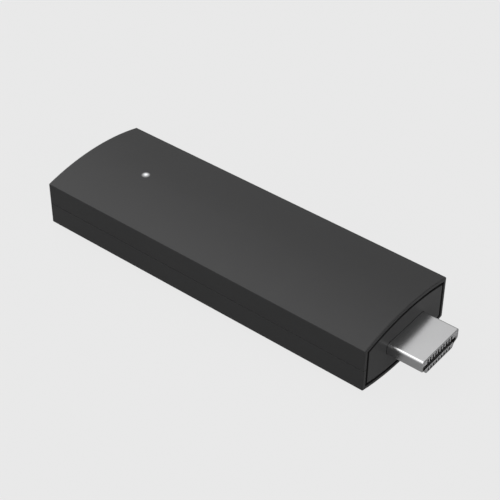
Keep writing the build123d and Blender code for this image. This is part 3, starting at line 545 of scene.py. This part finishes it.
def dress_connectors():
    """Video plug, power socket and all gilt contacts."""
    dress(["hdmi_shell"], plated_metal("plug_plating", PLUG_METAL, roughness=0.23))
    dress(["usb_shell"], plated_metal("socket_plating", SOCKET_METAL, roughness=0.24))
    insulator = painted_shade_plastic(
        "plug_insulator_plastic",
        PLUG_INSULATOR,
        PLUG_INSULATOR_PAINTED_SHADE,
        front_x=PLUG_FRONT,
        reach=INSULATOR_REACH,
        roughness=0.45,
    )
    dress(["hdmi_insulator"], insulator)
    tongue = moulded_plastic("socket_insulator_plastic", SOCKET_INSULATOR, roughness=0.45)
    dress(["usb_insulator"], tongue)
    gilt = plated_metal("contact_gilding", GILDING, roughness=0.25)
    dress(["hdmi_upper_contacts", "hdmi_lower_contacts", "usb_contacts", "switch_terminals"], gilt)


def dress_board():
    """Boards, their parts, and the sheet metal round them."""
    dress(["main_board", "wireless_board"], solder_mask("board_mask"))
    dress(["status_led"], speckled("lamp_phosphor", PHOSPHOR, size=0.1 * MM, roughness=0.4))
    dress(["capacitors"], speckled("capacitor_ceramic", CERAMIC, size=0.12 * MM, roughness=0.5))
    dress(["resistors"], speckled("resistor_glaze", GLAZE, size=0.15 * MM, roughness=0.35))
    dress(["power_inductors"], speckled("coil_powder", POWDER, size=0.15 * MM, roughness=0.7))
    chip = moulded_plastic("chip_moulding", CHIP, roughness=0.55, grain=0.1 * MM, depth=0.006 * MM)
    dress(["processor_chip", "memory_chip", "flash_chip", "power_chip"], chip)
    tinned = plated_metal("tinned_sheet", TINNED_SHEET, roughness=0.34, grain=0.4 * MM)
    dress(["crystal", "shield_frame", "shield_lid", "wireless_can"], tinned)
    dress(["antenna_left", "antenna_right"], tinned)
    rolled = plated_metal(
        "rolled_aluminium", ALUMINIUM, roughness=0.38, grain=0.3 * MM, depth=0.001 * MM
    )
    dress(["heat_spreader", "lower_spreader"], rolled)
    dress(["board_screws"], plated_metal("screw_plating", SCREW, roughness=0.3))


def dress_switch():
    """Body, plunger and cover of the reset switch."""
    moulding = moulded_plastic("switch_moulding", SWITCH, roughness=0.5, grain=0.1 * MM)
    dress(["switch_body", "switch_plunger"], moulding)
    dress(["switch_cover"], plated_metal("switch_plate", SWITCH_COVER, roughness=0.28))


def mesh_piece(name, points, faces, material, body):
    """A smooth mesh that rides on a body."""
    mesh = bpy.data.meshes.new(name)
    mesh.from_pydata(points, [], faces)
    mesh.validate()
    mesh.materials.append(material)
    piece = bpy.data.objects.new(name, mesh)
    bpy.context.scene.collection.objects.link(piece)
    for face in mesh.polygons:
        face.use_smooth = True
    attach(piece, body)
    return piece


def dome_rings(radius, hollow):
    """Distance and height of each ring of the dome, from its crown over its rim and back inside."""
    inside = []
    for ring in range(1, DOME_RINGS + 1):
        share = ring / DOME_RINGS
        swell = 0.5 + 0.5 * cos(pi * min(1.0, share / DOME_SHOULDER))
        inside.append((radius * share, hollow * swell))
    outside = [(far, height + DOME_SHEET) for far, height in inside]
    return outside + inside[::-1]


def snap_dome():
    """Sprung metal dome with a flat crown."""
    low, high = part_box("switch_dome")
    middle = middle_of((low, high))
    hollow = high.x - low.x - DOME_SHEET
    rings = dome_rings((high.y - low.y) / 2, hollow)
    points = [(low.x, middle.y, middle.z)]
    for far, height in rings:
        for step in range(DOME_STEPS):
            turn = 2 * pi * step / DOME_STEPS
            points.append((high.x - height, middle.y + far * cos(turn), middle.z + far * sin(turn)))
    points.append((high.x - hollow, middle.y, middle.z))
    last_ring = 1 + (len(rings) - 1) * DOME_STEPS
    faces = []
    for step in range(DOME_STEPS):
        after = (step + 1) % DOME_STEPS
        faces.append((0, 1 + after, 1 + step))
        for ring in range(1, last_ring, DOME_STEPS):
            inner = ring + DOME_STEPS
            faces.append((ring + step, ring + after, inner + after, inner + step))
        faces.append((last_ring + step, last_ring + after, len(points) - 1))
    steel = plated_metal("spring_steel", SPRING_STEEL, roughness=0.25)
    dome = mesh_piece("snap_dome", points, faces, steel, "stick")
    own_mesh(dome)
    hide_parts("switch_dome")


def pad_outline(half):
    """Points round a pad's rounded outline, each with the way out from it."""
    corner = min(half.x, half.y) * PAD_CORNER
    outline = []
    for quarter, (side_x, side_y) in enumerate(((1, 1), (-1, 1), (-1, -1), (1, -1))):
        for step in range(PAD_CORNER_STEPS + 1):
            turn = pi / 2 * (quarter + step / PAD_CORNER_STEPS)
            x = side_x * (half.x - corner) + corner * cos(turn)
            y = side_y * (half.y - corner) + corner * sin(turn)
            outline.append((x, y, cos(turn), sin(turn)))
    return outline


def soft_slab(name, material):
    """Pressed pad that stands for a CAD node: its sides bulge and its corners are rounded."""
    low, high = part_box(name)
    middle = middle_of((low, high))
    half = (high - low) / 2
    outline = pad_outline(half)
    points = []
    for level in range(PAD_LEVELS + 1):
        turn = pi * level / PAD_LEVELS
        pull = half.z * PAD_BULGE * (sin(turn) - 1.0)
        z = middle.z + half.z * cos(turn)
        for x, y, way_x, way_y in outline:
            points.append((middle.x + x + pull * way_x, middle.y + y + pull * way_y, z))
    count = len(outline)
    faces = []
    for start in range(0, PAD_LEVELS * count, count):
        for step in range(count):
            after = (step + 1) % count
            below = start + count
            faces.append((start + step, below + step, below + after, start + after))
    faces.append(tuple(range(count)))
    faces.append(tuple(reversed(range(PAD_LEVELS * count, (PAD_LEVELS + 1) * count))))
    slab = mesh_piece(name + "_silicone", points, faces, material, "stick")
    for face in slab.data.polygons:
        face.use_smooth = len(face.vertices) == 4
    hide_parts(name)


dress_housing()
dress_connectors()
dress_board()
dress_switch()
snap_dome()
pad_silicone = silicone("pad_silicone", SILICONE)
for pad in ("chip_pad", "spreader_pad", "lower_pad"):
    soft_slab(pad, pad_silicone)

make_floor()
make_camera()
make_world()
bpy.context.scene.view_settings.view_transform = "Standard"
